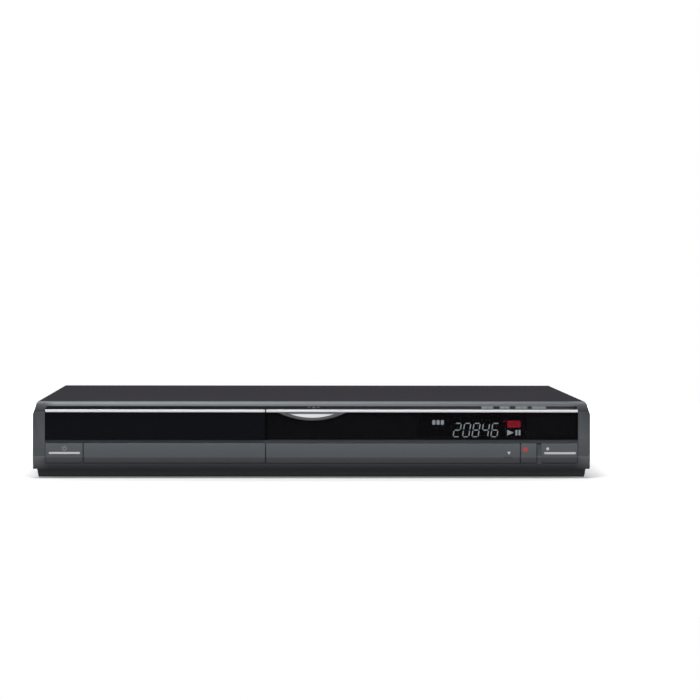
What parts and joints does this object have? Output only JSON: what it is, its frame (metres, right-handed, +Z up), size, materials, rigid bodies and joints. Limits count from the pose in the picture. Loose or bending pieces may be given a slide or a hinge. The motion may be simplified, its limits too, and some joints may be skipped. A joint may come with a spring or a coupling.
{
  "type": "dvd recorder",
  "caption": "Slim full-width disc recorder with a black window band, sliding disc tray, drop-down socket flap, sprung front buttons, folded steel cover and rear sockets.",
  "frame": {"origin": "centre of the bounding box at the surface that the feet stand on", "axes": "+X to the right of the front panel, -Y out of the front panel, +Z up"},
  "size_m": [0.43, 0.33, 0.0595],
  "materials": {
    "charcoal_plastic": "fine satin paint on moulded plastic",
    "black_gloss": "polished black",
    "smoked_window": "polished smoked window",
    "bright_trim": "bright plated plastic",
    "grey_plastic": "satin moulded",
    "cover_paint": "fine textured paint",
    "rear_steel": "plated sheet with thin lacquer",
    "plated_steel": "zinc plated",
    "ground_steel": "ground and polished",
    "foot_rubber": "matt",
    "belt_rubber": "matt",
    "display_glass": "glass tube with a dark grid",
    "circuit_board": "solder resist",
    "black_plastic": "moulded",
    "tray_plastic": "fine spark-eroded texture",
    "white_plastic": "natural acetal",
    "socket_metal": "nickel plated",
    "cast_aluminium": "as cast and machined",
    "winding_tape": "tape over copper winding"
  },
  "bodies": {
    "recorder": {"base_chassis": "plated_steel", "top_cover": "cover_paint", "rear_panel": "rear_steel", "foot_front_left": "foot_rubber", "foot_front_right": "foot_rubber", "foot_rear_left": "foot_rubber", "foot_rear_right": "foot_rubber", "front_frame": "charcoal_plastic", "display_window": "smoked_window", "window_trim": "bright_trim", "button_surround": "grey_plastic", "lower_strip": "charcoal_plastic", "display_tube": "display_glass", "front_board": "circuit_board", "front_socket_panel": "black_plastic", "front_phono_block": "black_plastic", "front_s_video_socket": "black_plastic", "front_camera_socket": "socket_metal", "card_slot": "socket_metal", "drive_base": "black_plastic", "drive_belt": "belt_rubber", "loading_motor": "plated_steel", "clamp_bridge": "plated_steel", "disk_bracket": "plated_steel", "hard_disk": "cast_aluminium", "main_board": "circuit_board", "heat_sink": "cast_aluminium", "power_board": "circuit_board", "transformer": "winding_tape", "tuner_module": "plated_steel", "scart_block": "black_plastic", "rear_phono_block": "black_plastic", "digital_video_socket": "socket_metal", "fan_frame": "black_plastic", "mains_inlet": "black_plastic"},
    "tray": {"disc_tray": "tray_plastic", "tray_front": "black_gloss", "tray_trim": "bright_trim"},
    "loading_gear": {"pulley_gear": "white_plastic"},
    "loading_pulley": {"motor_pulley": "white_plastic"},
    "traverse": {"traverse_frame": "grey_plastic", "spindle_motor": "plated_steel", "guide_rod_left": "ground_steel", "guide_rod_right": "ground_steel", "sled_motor": "plated_steel"},
    "turntable": {"turntable": "black_plastic"},
    "pickup": {"pickup_sled": "black_plastic"},
    "screw": {"lead_screw": "ground_steel"},
    "clamp": {"clamp_puck": "white_plastic"},
    "fan": {"fan_rotor": "black_plastic"},
    "flap": {"front_flap": "charcoal_plastic"},
    "power_button": {"power_button": "charcoal_plastic"},
    "record_button": {"record_button": "charcoal_plastic"},
    "playback_button": {"playback_button": "charcoal_plastic"},
    "open_close_button": {"open_close_button": "bright_trim"},
    "channel_down_key": {"channel_down_key": "grey_plastic"},
    "channel_up_key": {"channel_up_key": "grey_plastic"},
    "stop_key": {"stop_key": "grey_plastic"},
    "play_key": {"play_key": "grey_plastic"}
  },
  "joints": [
    {"name": "tray_slide", "type": "slide", "parent": "recorder", "child": "tray", "axis": [0, -1, 0], "range_m": [0, 0.138]},
    {"name": "gear_spin", "type": "hinge", "parent": "recorder", "child": "loading_gear", "pos_m": [-0.17085, -0.138, 0.03], "axis": [0, 0, 1], "range_deg": [0, 880]},
    {"name": "pulley_spin", "type": "hinge", "parent": "recorder", "child": "loading_pulley", "pos_m": [-0.17285, -0.101, 0.0275], "axis": [0, 0, 1], "range_deg": [0, 2460]},
    {"name": "traverse_tilt", "type": "hinge", "parent": "recorder", "child": "traverse", "pos_m": [-0.12085, 0.025, 0.028], "axis": [1, 0, 0], "range_deg": [0, 2.4]},
    {"name": "turntable_spin", "type": "hinge", "parent": "traverse", "child": "turntable", "pos_m": [-0.12085, -0.091, 0.04], "axis": [0, 0, 1], "continuous": true},
    {"name": "pickup_slide", "type": "slide", "parent": "traverse", "child": "pickup", "axis": [0, 1, 0], "range_m": [0, 0.034]},
    {"name": "screw_spin", "type": "hinge", "parent": "traverse", "child": "screw", "pos_m": [-0.09285, -0.03, 0.0285], "axis": [0, 1, 0], "range_deg": [0, 4090]},
    {"name": "clamp_spin", "type": "hinge", "parent": "recorder", "child": "clamp", "pos_m": [-0.12085, -0.091, 0.047], "axis": [0, 0, 1], "continuous": true},
    {"name": "fan_spin", "type": "hinge", "parent": "recorder", "child": "fan", "pos_m": [0.0854, 0.149, 0.032], "axis": [0, 1, 0], "continuous": true},
    {"name": "flap_hinge", "type": "hinge", "parent": "recorder", "child": "flap", "pos_m": [0.0625, -0.161, 0.0161], "axis": [1, 0, 0], "range_deg": [0, 90]},
    {"name": "power_press", "type": "slide", "parent": "recorder", "child": "power_button", "axis": [0, 1, 0], "range_m": [0, 0.0008], "stiffness_N_per_m": 600},
    {"name": "record_press", "type": "slide", "parent": "recorder", "child": "record_button", "axis": [0, 1, 0], "range_m": [0, 0.0008], "stiffness_N_per_m": 600},
    {"name": "playback_press", "type": "slide", "parent": "recorder", "child": "playback_button", "axis": [0, 1, 0], "range_m": [0, 0.0008], "stiffness_N_per_m": 600},
    {"name": "open_close_press", "type": "slide", "parent": "recorder", "child": "open_close_button", "axis": [0, 1, 0], "range_m": [0, 0.0006], "stiffness_N_per_m": 600},
    {"name": "channel_down_press", "type": "slide", "parent": "recorder", "child": "channel_down_key", "axis": [0, 1, 0], "range_m": [0, 0.0006], "stiffness_N_per_m": 500},
    {"name": "channel_up_press", "type": "slide", "parent": "recorder", "child": "channel_up_key", "axis": [0, 1, 0], "range_m": [0, 0.0006], "stiffness_N_per_m": 500},
    {"name": "stop_press", "type": "slide", "parent": "recorder", "child": "stop_key", "axis": [0, 1, 0], "range_m": [0, 0.0006], "stiffness_N_per_m": 500},
    {"name": "play_press", "type": "slide", "parent": "recorder", "child": "play_key", "axis": [0, 1, 0], "range_m": [0, 0.0006], "stiffness_N_per_m": 500}
  ],
  "couplings": [
    {"joint": "gear_spin", "follows": "tray_slide", "rad_per_m": 111.11},
    {"joint": "pulley_spin", "follows": "tray_slide", "rad_per_m": 310.54},
    {"joint": "screw_spin", "follows": "pickup_slide", "rad_per_m": 2094.4}
  ]
}
